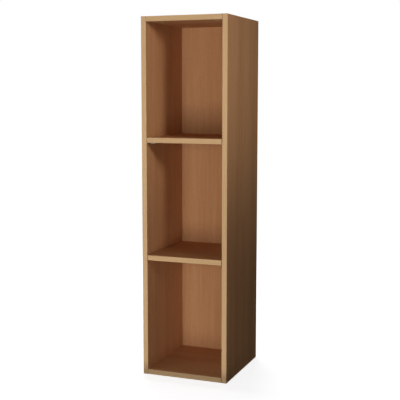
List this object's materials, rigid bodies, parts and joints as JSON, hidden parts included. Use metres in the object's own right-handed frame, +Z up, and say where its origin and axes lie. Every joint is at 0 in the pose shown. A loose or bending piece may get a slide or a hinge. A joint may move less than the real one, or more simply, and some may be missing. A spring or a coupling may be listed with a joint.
{
  "type": "office shelf",
  "caption": "Tall narrow office shelf: beech-finish sides, fixed top and bottom on cam fittings, loose shelves on spoon supports, grooved-in back, open front for files.",
  "frame": {"origin": "on the floor, under the middle of the shelf", "axes": "+Z up, +X to the right seen from the front, +Y to the back, so the open front faces -Y"},
  "size_m": [0.28, 0.3, 1.12],
  "materials": {
    "beech_board": "melamine-faced chipboard with a satin beech decor",
    "beech_strip": "satin edge strip with a lighter beech decor",
    "hardboard": "hardboard, printed beech in front and raw behind",
    "cam_zinc": "bare die-cast zinc",
    "bolt_steel": "zinc-plated steel",
    "dowel_beech": "raw beech",
    "support_nickel": "nickel-plated steel"
  },
  "bodies": {
    "carcass": {"left_side": "beech_board", "right_side": "beech_board", "top_panel": "beech_board", "bottom_panel": "beech_board", "left_side_front_strip": "beech_strip", "left_side_top_strip": "beech_strip", "right_side_front_strip": "beech_strip", "right_side_top_strip": "beech_strip", "top_panel_strip": "beech_strip", "bottom_panel_strip": "beech_strip", "back_panel": "hardboard", "cam_bolt_bottom_left_front": "bolt_steel", "cam_bolt_bottom_left_rear": "bolt_steel", "cam_bolt_bottom_right_front": "bolt_steel", "cam_bolt_bottom_right_rear": "bolt_steel", "cam_bolt_top_left_front": "bolt_steel", "cam_bolt_top_left_rear": "bolt_steel", "cam_bolt_top_right_front": "bolt_steel", "cam_bolt_top_right_rear": "bolt_steel", "dowel_bottom_left_front": "dowel_beech", "dowel_bottom_left_rear": "dowel_beech", "dowel_bottom_right_front": "dowel_beech", "dowel_bottom_right_rear": "dowel_beech", "dowel_top_left_front": "dowel_beech", "dowel_top_left_rear": "dowel_beech", "dowel_top_right_front": "dowel_beech", "dowel_top_right_rear": "dowel_beech", "support_lower_shelf_left_front": "support_nickel", "support_lower_shelf_left_rear": "support_nickel", "support_lower_shelf_right_front": "support_nickel", "support_lower_shelf_right_rear": "support_nickel", "support_upper_shelf_left_front": "support_nickel", "support_upper_shelf_left_rear": "support_nickel", "support_upper_shelf_right_front": "support_nickel", "support_upper_shelf_right_rear": "support_nickel"},
    "lower_shelf": {"lower_shelf": "beech_board", "lower_shelf_strip": "beech_strip"},
    "upper_shelf": {"upper_shelf": "beech_board", "upper_shelf_strip": "beech_strip"},
    "cam_bottom_left_front": {"cam_bottom_left_front": "cam_zinc"},
    "cam_bottom_left_rear": {"cam_bottom_left_rear": "cam_zinc"},
    "cam_bottom_right_front": {"cam_bottom_right_front": "cam_zinc"},
    "cam_bottom_right_rear": {"cam_bottom_right_rear": "cam_zinc"},
    "cam_top_left_front": {"cam_top_left_front": "cam_zinc"},
    "cam_top_left_rear": {"cam_top_left_rear": "cam_zinc"},
    "cam_top_right_front": {"cam_top_right_front": "cam_zinc"},
    "cam_top_right_rear": {"cam_top_right_rear": "cam_zinc"}
  },
  "joints": [
    {"name": "lower_shelf_slide", "type": "slide", "parent": "carcass", "child": "lower_shelf", "axis": [0, -1, 0], "range_m": [0, 0.29]},
    {"name": "upper_shelf_slide", "type": "slide", "parent": "carcass", "child": "upper_shelf", "axis": [0, -1, 0], "range_m": [0, 0.29]},
    {"name": "cam_bottom_left_front_turn", "type": "hinge", "parent": "carcass", "child": "cam_bottom_left_front", "pos_m": [-0.09, -0.1, 0.008], "axis": [0, 0, -1], "range_deg": [0, 190]},
    {"name": "cam_bottom_left_rear_turn", "type": "hinge", "parent": "carcass", "child": "cam_bottom_left_rear", "pos_m": [-0.09, 0.1, 0.008], "axis": [0, 0, -1], "range_deg": [0, 190]},
    {"name": "cam_bottom_right_front_turn", "type": "hinge", "parent": "carcass", "child": "cam_bottom_right_front", "pos_m": [0.09, -0.1, 0.008], "axis": [0, 0, -1], "range_deg": [0, 190]},
    {"name": "cam_bottom_right_rear_turn", "type": "hinge", "parent": "carcass", "child": "cam_bottom_right_rear", "pos_m": [0.09, 0.1, 0.008], "axis": [0, 0, -1], "range_deg": [0, 190]},
    {"name": "cam_top_left_front_turn", "type": "hinge", "parent": "carcass", "child": "cam_top_left_front", "pos_m": [-0.09, -0.1, 1.112], "axis": [0, 0, -1], "range_deg": [0, 190]},
    {"name": "cam_top_left_rear_turn", "type": "hinge", "parent": "carcass", "child": "cam_top_left_rear", "pos_m": [-0.09, 0.1, 1.112], "axis": [0, 0, -1], "range_deg": [0, 190]},
    {"name": "cam_top_right_front_turn", "type": "hinge", "parent": "carcass", "child": "cam_top_right_front", "pos_m": [0.09, -0.1, 1.112], "axis": [0, 0, -1], "range_deg": [0, 190]},
    {"name": "cam_top_right_rear_turn", "type": "hinge", "parent": "carcass", "child": "cam_top_right_rear", "pos_m": [0.09, 0.1, 1.112], "axis": [0, 0, -1], "range_deg": [0, 190]}
  ]
}
